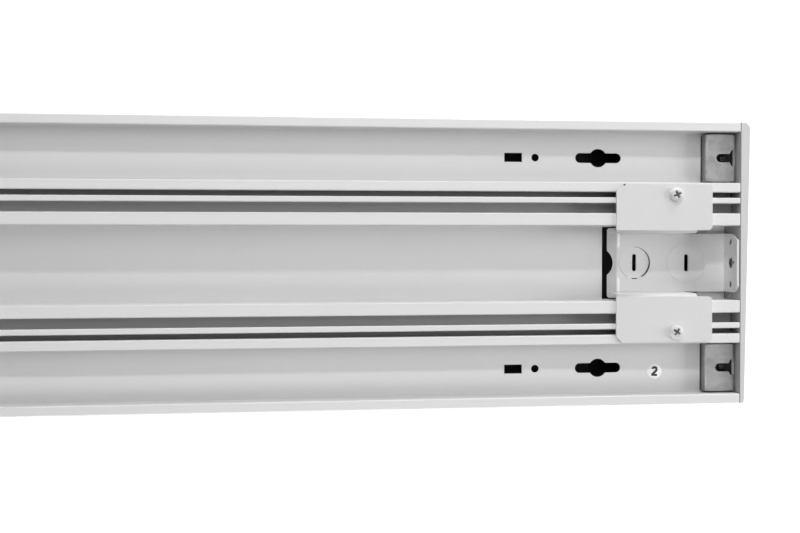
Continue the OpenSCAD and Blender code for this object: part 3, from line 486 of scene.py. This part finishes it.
def rounded_route(points, radius, steps=9):
    """Route through points, each inner corner replaced by the parabola (1-f)^2 a + 2 f (1-f) p + f^2 b between the
    points a and b that lie a radius before and after the corner p."""
    p = np.array(points, float)
    before, corner, after = p[:-2], p[1:-1], p[2:]
    a = corner + (before - corner) / np.linalg.norm(before - corner, axis=1)[:, None] * radius
    b = corner + (after - corner) / np.linalg.norm(after - corner, axis=1)[:, None] * radius
    f = np.linspace(0, 1, steps)[None, :, None]
    curve = (1 - f) ** 2 * a[:, None] + 2 * f * (1 - f) * corner[:, None] + f ** 2 * b[:, None]
    return np.concatenate([p[:1], curve.reshape(-1, 3), p[-1:]])


def tube(route, radius, sides=20):
    """Circle carried along a route: at each point, radius times cosine and sine of the turn along two directions
    that stand square to the route. A slanted vector that no stretch follows gives the first of them."""
    along = np.gradient(route, axis=0)
    along /= np.linalg.norm(along, axis=1)[:, None]
    slant = np.array([0.57, 0.60, 0.56])
    first = slant - (along @ slant)[:, None] * along
    first /= np.linalg.norm(first, axis=1)[:, None]
    second = np.cross(along, first)
    turn = np.linspace(0, 2 * math.pi, sides, endpoint=False)[None, :, None]
    return closed_rings(
        route[:, None] + radius * (np.cos(turn) * first[:, None] + np.sin(turn) * second[:, None]))


def cross_recess(x, y, reach, arm, depth):
    """Depth of a cross recess at (x, y): full in two arms that cross, with sloping walls, and deeper in the middle
    by a cone."""
    near, far = np.minimum(abs(x), abs(y)), np.maximum(abs(x), abs(y))
    slope = 0.35 * arm
    walls = np.clip((arm / 2 - near) / slope + 0.5, 0, 1) * np.clip((reach - far) / slope, 0, 1)
    cone = np.clip(1 - np.hypot(x, y) / (0.75 * reach), 0, 1)
    return depth * walls * (0.7 + 0.3 * cone)


def pan_head_screw(d, length, head_d, head_h, turn, rings, sides):
    """Pan head screw along -Z with its head on z = 0, and the numbers of the faces that lie in its recess. The
    shank's radius is a triangle wave of z less the turn, so that its crests climb as a thread. The head's first four
    rings are its underside and rim, and the rest rise as a superellipse of the radius, less the depth of its cross
    recess."""
    angle = np.linspace(0, 2 * math.pi, sides, endpoint=False)
    pitch = 0.42 * d
    drop = np.linspace(-length, -0.25 * pitch, max(8, int(length / pitch * 6)))[:, None]
    wave = abs((drop / pitch - angle / (2 * math.pi)) % 1 * 2 - 1)
    tip = np.clip((drop + length) / (0.6 * d), 0, 1) * 0.45 + 0.55
    shank_r = (d / 2) * (0.80 + 0.20 * wave) * tip
    shank = np.stack(np.broadcast_arrays(shank_r * np.cos(angle), shank_r * np.sin(angle), drop), -1)
    dome = np.cos(np.linspace(0, 1, rings) ** 1.4 * 1.5) * 0.998
    share = np.concatenate([[0.30, 0.93, 0.985, 1.0], dome])[:, None]
    radius = share * head_d / 2
    x, y = radius * np.cos(angle), radius * np.sin(angle)
    crown = head_h * (1 - np.clip(share, 0, 1) ** 3.4) ** 0.5
    crown[:4] = np.array([[0.0], [0.0], [0.02], [0.07]]) * head_h
    crown[4:] = np.maximum(crown[4:], 0.10 * head_h)
    c, s = math.cos(turn), math.sin(turn)
    dip = cross_recess(c * x + s * y, c * y - s * x, 0.29 * head_d, 0.13 * head_d, 0.62 * head_h)
    dip[:4] = 0
    head = np.stack(np.broadcast_arrays(x, y, crown - dip), -1)
    points, faces = closed_rings(np.concatenate([shank, head]))
    level = np.concatenate([np.zeros(shank_r.size), dip.ravel()])
    sunk = [k for k, f in enumerate(faces) if level[f].mean() > 0.25 * head_h]
    return points, faces, sunk


def copies(shape, places, turn=np.eye(3)):
    """The same points and faces at many places, turned by one matrix: matrix times point, plus the place."""
    points, faces = shape[:2]
    spread = (points @ turn.T)[None] + np.array(places, float)[:, None]
    faces = [[corner + k * len(points) for corner in face] for k in range(len(places)) for face in faces]
    return spread.reshape(-1, 3), faces


def joined(*shapes):
    """Several shapes as one list of points and one list of faces."""
    starts = np.cumsum([0] + [len(s[0]) for s in shapes])
    faces = [[corner + start for corner in face] for start, s in zip(starts, shapes) for face in s[1]]
    return np.concatenate([s[0] for s in shapes]), faces


def place_piece(mesh, body, nodes):
    """Object of a mesh that rides a body and takes the place of the nodes."""
    piece = bpy.data.objects.new(mesh.name, mesh)
    scene.collection.objects.link(piece)
    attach(piece, body)
    if nodes:
        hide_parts(*nodes)
    return piece


def build(name, shape, finish, body, nodes=(), second=None, marked=()):
    """Piece from points in millimetres and faces. The marked faces take the second finish."""
    points, faces = shape[:2]
    mesh = bpy.data.meshes.new(name)
    mesh.from_pydata((points * MM).tolist(), [], faces)
    mesh.materials.append(finish)
    if second is not None:
        mesh.materials.append(second)
        kind = np.zeros(len(faces), np.int32)
        kind[list(marked)] = 1
        mesh.polygons.foreach_set("material_index", kind)
    mesh.polygons.foreach_set("use_smooth", np.ones(len(faces), bool))
    mesh.set_sharp_from_angle(angle=math.radians(38))
    mesh.update()
    place_piece(mesh, body, nodes)


def softened(piece, radius):
    """Fine rounding of a piece's edges: its triangles are merged and made flat faces first."""
    weld = piece.modifiers.new("weld", "WELD")
    weld.merge_threshold = 0.000002
    flat = piece.modifiers.new("flat", "DECIMATE")
    flat.decimate_type = "DISSOLVE"
    flat.angle_limit = math.radians(1)
    edge = piece.modifiers.new("round_edge", "BEVEL")
    edge.width = radius
    edge.segments = 2
    edge.limit_method = "ANGLE"
    edge.angle_limit = math.radians(40)


# ---- Real edges are never sharp: a fine rounding on the folded, cut and moulded parts, in metres

EDGE_RADIUS = {
    "housing_extrusion": 0.00035, "joiner_left": 0.00025, "joiner_right": 0.00025, "gear_tray": 0.0003,
    "led_board": 0.0001, "driver_case": 0.0003, "driver_lid": 0.0004, "driver_board": 0.0001,
    "driver_transformer": 0.0006, "terminal_block": 0.0003, "terminal_screws": 0.00012, "lens": 0.0003,
}
for node, thing in frame["nodes"].items():
    radius = next((r for start, r in EDGE_RADIUS.items() if node.startswith(start)), None)
    if radius is not None:
        softened(thing, radius)

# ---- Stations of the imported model, in millimetres

END = 604.0  # where the end plates meet the extrusion
FLOOR = -12.8  # floors of the side channels
CHANNEL_Y = 71.5  # middle of a side channel
PLATE = -18.7  # plates of the wiring covers
DECK = -54.0  # top of the gear tray
BOARDS = -57.1  # underside of the light boards
UPRIGHT = np.eye(3)
TURN_UP = np.diag([1.0, -1.0, -1.0])
TO_RIGHT = np.array([[0.0, 0.0, 1.0], [0.0, 1.0, 0.0], [-1.0, 0.0, 0.0]])
TO_LEFT = np.array([[0.0, 0.0, -1.0], [0.0, 1.0, 0.0], [1.0, 0.0, 0.0]])

# ---- Pieces that stand in for a packed one, whose points they move


def merged_copy(node, name):
    """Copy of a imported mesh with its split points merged, and its points in metres."""
    source = bmesh.new()
    source.from_mesh(frame["nodes"][node].data)
    bmesh.ops.remove_doubles(source, verts=source.verts, dist=0.000002)
    mesh = bpy.data.meshes.new(name)
    source.to_mesh(mesh)
    source.free()
    place = np.empty(len(mesh.vertices) * 3, np.float32)
    mesh.vertices.foreach_get("co", place)
    return mesh, place.reshape(-1, 3)


def stand_in(mesh, place, finish, body, node, radius):
    """Piece from a merged copy whose points have moved, in the node's place."""
    mesh.vertices.foreach_set("co", place.ravel())
    mesh.materials.clear()
    mesh.materials.append(finish)
    mesh.update()
    softened(place_piece(mesh, body, [node]), radius)


# ---- Wiring covers: the knockout near the middle hangs a little askew on its two ties

KNOCKOUT_X = END - 66.8  # middle of the knockout
KNOCKOUT_R = 10.8  # more than the disc's radius and less than the radius of the plate's edge round it
TIE_Y = 10.2  # the ties that hold the disc
TILT_ALONG, TILT_ACROSS, SINK, PUSH = 0.060, 0.020, 0.3, (-0.34, 0.26)

for side, sign in SIDES:
    # Inside the ring cut the disc is pushed aside, and drops by a slope times its place along the body plus a slope
    # times its distance from the ties.
    mesh, place = merged_copy(f"wiring_cover_{side}", f"askew_cover_{side}")
    x, y = sign * place[:, 0] / MM - KNOCKOUT_X, sign * place[:, 1] / MM
    disc = np.hypot(x, y) < KNOCKOUT_R
    place[disc, 2] -= ((TILT_ALONG * x - TILT_ACROSS * (y - TIE_Y) + SINK) * MM)[disc]
    place[disc, :2] += np.array(PUSH) * sign * MM
    stand_in(mesh, place, cover_paint, f"{side}_cover", f"wiring_cover_{side}", 0.00035)

# ---- Crests of the bends between the covers' plates and their sloping lips, beside the cable notch, in a lighter coat that paints a highlight on them

LIP_BEND = END - 79.2


def crest(y0, y1, half=1.35, rise=1.0, foot=-0.4):
    """Half ellipse in X and Z carried along Y, whose size falls to nothing at both ends as a superellipse."""
    f = np.linspace(-1, 1, 25)[:, None]
    size = np.clip(1 - f ** 6, 0.02, 1) ** 0.5
    turn = np.linspace(0, math.pi, 13)
    x = np.concatenate([-half * np.cos(turn), [half, -half]])
    z = np.concatenate([rise * np.sin(turn), [foot, foot]])
    y = (y0 + y1) / 2 + f * (y1 - y0) / 2
    return closed_rings(np.stack(np.broadcast_arrays(LIP_BEND + size * x, y, PLATE + size * z), -1))


crest_points, crest_faces = joined(crest(9.7, 23.8), crest(-23.8, -9.7))
for side, sign in SIDES:
    build(f"lip_crests_{side}", (crest_points * np.array([sign, sign, 1]), crest_faces), highlight_coat,
          f"{side}_cover")

# ---- End plates: thicker at the rear edge than at the front edge, as the photograph shows at the right end


def plate_share(y):
    """Thickness of the right end plate over its packed thickness of 6, along Y: a straight line from 2.9 at the
    front edge to 7.1 at the rear edge."""
    return (5.0 + 2.1 * y / 93.0) / 6.0


def cut_corner(out, y):
    """Points (out, y) beyond a line across the rear corner go back to it, square to the line. The line goes through
    (3.6, 95), and (0.762, 0.648) is its normal."""
    past = np.clip((out - 3.6) * 0.762 + (y - 95.0) * 0.648, 0, None)
    return out - past * 0.762, y - past * 0.648


for side, sign in SIDES:
    mesh, place = merged_copy(f"end_cap_{side}", f"tapered_plate_{side}")
    out, y = sign * place[:, 0] / MM - END, sign * place[:, 1] / MM
    out, y = cut_corner(np.where(out > 0.05, out * plate_share(y), out), y)
    place[:, 0], place[:, 1] = sign * (END + out) * MM, sign * y * MM
    stand_in(mesh, place, cap_paint, "fixture_body", f"end_cap_{side}", 0.0005)

# ---- Cover screws, painted white, with the paint worn off in the recess

COVER_SCREW_X, COVER_SCREW_Y = END - 46.1, 45.95
WING_TOP = 1.5

for side, sign in SIDES:
    heads = []
    for y, turn in ((COVER_SCREW_Y, 0.42), (-COVER_SCREW_Y, 0.95)):
        points, faces, sunk = pan_head_screw(3.1, 11.0, 9.8, 3.1, turn, rings=22, sides=96)
        heads.append((points + np.array([sign * COVER_SCREW_X, sign * y, WING_TOP]), faces, sunk))
    marked = heads[0][2] + [len(heads[0][1]) + k for k in heads[1][2]]
    build(f"cover_screw_pair_{side}", joined(*heads), screw_paint, f"{side}_cover",
          [f"cover_screws_{side}"], worn_recess, marked)

# ---- Other screws: node, (thread, length, head, head height), direction, finish, slot and places under the heads

CAP_SCREWS = [(s, y, z) for s in (-1, 1) for y, z in ((86.4, -17.2), (89.8, -45.8))]
SCREW_SETS = {
    "bracket_screws": (
        "joiner_screws", (3.4, 5.0, 6.0, 2.0), UPRIGHT, shade_dark_zinc, "zinc_screw",
        [(s * (END - 7.7), y, FLOOR + 1.2) for s in (-1, 1) for y in (-CHANNEL_Y, CHANNEL_Y)]),
    "cap_screws_right": (
        "end_cap_screws_right", (3.3, 16.0, 7.0, 1.9), TO_RIGHT, zinc, "zinc_screw",
        [(END + 3 * plate_share(s * y), s * y, z) for s, y, z in CAP_SCREWS]),
    "cap_screws_left": (
        "end_cap_screws_left", (3.3, 16.0, 7.0, 1.9), TO_LEFT, zinc, "zinc_screw",
        [(-END - 3 * plate_share(-s * y), s * y, z) for s, y, z in CAP_SCREWS]),
    "gear_tray_screws": (
        "tray_screws", (3.0, 5.3, 6.0, 2.0), TURN_UP, zinc, "zinc_screw",
        [(x, y, -55.5) for x in (-544, -544 / 3, 544 / 3, 544) for y in (-87.8, 87.8)]),
    "light_board_screws": (
        "board_screws", (2.4, 5.1, 4.4, 1.2), TURN_UP, zinc, "zinc_screw",
        [(s * 301.25 + x, y, BOARDS) for s in (-1, 1) for x in (-291.25, 0, 291.25) for y in (-45, 45)]),
    "driver_foot_screws": (
        "driver_screws", (2.9, 4.5, 5.6, 2.0), UPRIGHT, zinc, "zinc_screw",
        [(x, y, DECK + 1) for x in (-156, 156) for y in (-20, 20)]),
    "earth_stud": (
        "earth_screw", (2.9, 3.5, 8.0, 2.6), UPRIGHT, green_zinc, "green_screw", [(487, -8, DECK)]),
}
for name, (node, size, turn, finish, slot, places) in SCREW_SETS.items():
    screw = pan_head_screw(*size, turn=0.3, rings=11, sides=40)
    build(name, copies(screw, places, turn), finish, "fixture_body", [node])

# ---- Round label with a number


def ribbon(route, width, low, high):
    """Flat band along a route of (x, y): half the width to each side, square to the route, from low to high."""
    along = np.gradient(route, axis=0)
    along /= np.linalg.norm(along, axis=1)[:, None]
    across = np.stack([-along[:, 1], along[:, 0]], -1) * width / 2
    corners = [(route - across, low), (route + across, low), (route + across, high), (route - across, high)]
    return closed_rings(np.stack([np.concatenate([xy, np.full((len(xy), 1), z)], -1) for xy, z in corners], 1))


label_place = np.array([END - 55, -CHANNEL_Y - 3, FLOOR])
label_points, label_faces = turned([(5.08, 0.0), (5.15, 0.05), (5.15, 0.11), (5.06, 0.15)], sides=96)
build("number_label", (label_points + label_place, label_faces), label_paper, "fixture_body",
      ["end_mark"])

# The digit 2 is a bowl along an ellipse's arc that runs on into a straight slide, and a foot, all leaning a little.
arc = np.linspace(math.radians(170), math.radians(-38), 26)
bowl = np.stack([1.42 * np.cos(arc), 1.35 + 1.38 * np.sin(arc)], -1)
slide = np.linspace(bowl[-1], (-1.35, -2.35), 12)[1:]
foot = np.linspace((-2.1, -2.45), (2.1, -2.45), 8)
lean = math.radians(-4)
tilt = np.array([[math.cos(lean), -math.sin(lean), 0], [math.sin(lean), math.cos(lean), 0], [0, 0, 1]])
digit_points, digit_faces = joined(
    ribbon(np.concatenate([bowl, slide]), 1.7, 0.15, 0.17), ribbon(foot, 1.45, 0.15, 0.172))
build("number_print", (digit_points @ tilt.T + label_place, digit_faces), print_black,
      "fixture_body")

# ---- Wires: insulated, in smooth bends. Each has its node, finish, slot and routes.

LANE = 2.4  # how far each supply wire runs from the middle plane
PORT, LIE = -45.0, -52.6  # heights of a wire at the driver's ports and on the tray
ROUTES = {
    "line_lead": ("line_wire", wire_black, "wire_black", [[
        (447, 8, -49), (439, 8, -49), (431, LANE, LIE), (176, LANE, LIE), (164, LANE, PORT), (142, LANE, PORT)]]),
    "neutral_lead": ("neutral_wire", wire_white, "wire_white", [[
        (447, 0, -49), (439, 0, -49), (431, -LANE, LIE), (176, -LANE, LIE), (164, -LANE, PORT),
        (142, -LANE, PORT)]]),
    "earth_lead": ("earth_wire", wire_green, "wire_green", [[
        (461, -8, -49), (469, -8, -49), (473, -8, LIE), (482.8, -8, LIE)]]),
}
for side, sign in (("front", -1), ("rear", 1)):
    ROUTES[f"board_leads_{side}"] = (f"dc_wires_{side}", wire_red, "wire_red", [[
        (-142, sign * 1.4, PORT + off), (-164, sign * 1.4, PORT + off), (-176 - off, sign * 1.4, -50.2 + off),
        (-210 - off, sign * 1.4, -50.2 + off), (-210 - off, sign * 1.4, -58.3), (-210 - off, sign * 39, -58.3)]
        for off in (-1.4, 1.4)])
for name, (node, finish, slot, routes) in ROUTES.items():
    build(name, joined(*[tube(rounded_route(r, 2.4), 1.2) for r in routes]), finish, "fixture_body", [node])

# ---- Light chips: a white package with a sunk phosphor window

chip = stacked_outlines([
    (1.75, 1.40, 0.15, 0.0), (1.75, 1.40, 0.15, 0.62), (1.64, 1.29, 0.15, 0.80), (1.36, 1.06, 0.35, 0.80),
    (1.26, 0.96, 0.35, 0.66)], steps=2)
rows = [(sx * 301.25 + (i - 10.5) * 25, sy * 51, BOARDS) for sx in (-1, 1) for sy in (-1, 1) for i in range(22)]
windows = np.arange(len(rows)) * len(chip[1]) + len(chip[1]) - 1
build("light_chips", copies(chip, rows, TURN_UP), board_white, "fixture_body", ["led_chips"],
      phosphor, windows)

# ---- Bridge connectors between the light boards

bridge = stacked_outlines([
    (8.0, 4.0, 0.4, 0.0), (8.0, 4.0, 0.4, 1.9), (7.4, 3.7, 0.4, 2.1), (7.4, 3.7, 0.4, 2.8), (7.1, 3.4, 0.4, 3.0),
    (6.2, 2.2, 0.3, 3.0), (6.2, 2.2, 0.3, 2.4)], steps=4)
build("bridge_connectors", copies(bridge, [(0, -39, BOARDS), (0, 39, BOARDS)], TURN_UP), nylon,
      "fixture_body", ["board_connectors"])

# ---- Driver capacitors: sleeved cans with a rolled groove and a rounded rim

CAN_H = 16.4
can = turned([
    (5.9, 0.0), (6.4, 0.5), (6.5, 1.2), (6.1, 2.0), (6.5, 2.8), (6.5, CAN_H - 0.7), (6.2, CAN_H - 0.1),
    (5.7, CAN_H), (5.2, CAN_H - 0.3), (0.4, CAN_H - 0.3)], sides=36)
build("sleeved_capacitors", copies(can, [(x, 8, -48.4) for x in (-60, -42, 48, 66)]), sleeve_blue,
      "fixture_body", ["driver_capacitors"])

# ---- Floor: pale paper that shows the shadow, lets light from below through and can't be seen from behind

FLOOR_Z, FLOOR_REACH = -0.0762, 6.0
floor_mesh = bpy.data.meshes.new("floor")
floor_mesh.from_pydata(
    [(x * FLOOR_REACH, y * FLOOR_REACH, FLOOR_Z) for x, y in ((-1, -1), (1, -1), (1, 1), (-1, 1))],
    [], [(0, 1, 2, 3)])
floor = bpy.data.objects.new("floor", floor_mesh)
scene.collection.objects.link(floor)


def seen_directly(tree):
    """1 for camera, glossy and transmission rays."""
    path = put(tree, "ShaderNodeLightPath").outputs
    return maths(tree, "MAXIMUM", path["Is Camera Ray"],
                 maths(tree, "MAXIMUM", path["Is Glossy Ray"], path["Is Transmission Ray"]))


paper = bpy.data.materials.new("studio_paper")
paper.use_nodes = True
tree = paper.node_tree
tree.nodes.clear()
matt = put(tree, "ShaderNodeBsdfDiffuse", {"Color": (0.30, 0.30, 0.30, 1)})
white = put(tree, "ShaderNodeEmission", {"Color": (1, 1, 1, 1), "Strength": 0.88})
bright = put(tree, "ShaderNodeAddShader", {0: matt.outputs[0], 1: white.outputs[0]})
clear = put(tree, "ShaderNodeBsdfTransparent")
shown = put(tree, "ShaderNodeMixShader", {0: seen_directly(tree), 1: clear.outputs[0], 2: bright.outputs[0]})
behind = put(tree, "ShaderNodeNewGeometry").outputs["Backfacing"]
both = put(tree, "ShaderNodeMixShader", {0: behind, 1: shown.outputs[0], 2: clear.outputs[0]})
put(tree, "ShaderNodeOutputMaterial", {"Surface": both.outputs[0]})
floor_mesh.materials.append(paper)

# ---- Backdrop: white to the eye. As a light it is faint from above, and stronger from straight below, through the
# floor, where it reaches only the lens and the outer sides.

SKY, FROM_BELOW = 0.03, 1.6
world = bpy.data.worlds.new("studio")
world.use_nodes = True
tree = world.node_tree
tree.nodes.clear()
up = put(tree, "ShaderNodeSeparateXYZ", {0: put(tree, "ShaderNodeTexCoord").outputs["Generated"]}).outputs[2]
soft = put(tree, "ShaderNodeBackground", {
    "Color": (1, 1, 1, 1), "Strength": ramp(tree, up, -0.5, -1.0, SKY, FROM_BELOW)})
backdrop = put(tree, "ShaderNodeBackground", {"Color": (1, 1, 1, 1), "Strength": 1.0})
sky = put(tree, "ShaderNodeMixShader", {0: seen_directly(tree), 1: soft.outputs[0], 2: backdrop.outputs[0]})
put(tree, "ShaderNodeOutputWorld", {"Surface": sky.outputs[0]})
scene.world = world

# ---- Lamps: place, size and power. The skirt lamps stand lower than the light's top, so that they reach only its
# outer sides, and aim level at its middle. The others aim at the right half of its top.

AIM = (0.27, 0.0, 0.0)
LAMPS = {
    "rear_high": ((0.27, 0.4226, 0.9063), (0.7, 0.6), 2.4),
    "front_softbox": ((0.27, -0.5736, 0.8192), (0.7, 0.5), 2.9),
    "rear_spot": ((0.30, 1.99, 1.44), (0.14, 0.14), 16.5),
    "rear_low": ((0.85, 1.0625, 0.2847), (0.5, 0.3), 4.8),
    "right_low": ((1.60, 0.0, 0.45), (0.3, 0.5), 7.0),
    "rear_skirt": ((0.0, 1.30, -0.040), (1.8, 0.05), 7.5),
    "front_skirt": ((0.0, -1.30, -0.040), (1.8, 0.05), 12.0),
    "left_skirt": ((-1.80, 0.0, -0.040), (0.6, 0.05), 8.5),
}
for label, (place, size, power) in LAMPS.items():
    lamp = bpy.data.lights.new(label, "AREA")
    lamp.shape = "RECTANGLE"
    lamp.size, lamp.size_y = size
    lamp.energy = power
    lamp_object = bpy.data.objects.new(label, lamp)
    lamp_object.location = place
    aim = AIM if place[2] > 0 else (0.0, 0.0, place[2])
    lamp_object.rotation_euler = (Vector(aim) - Vector(place)).to_track_quat("-Z", "Y").to_euler()
    scene.collection.objects.link(lamp_object)

scene.view_settings.view_transform = "Standard"
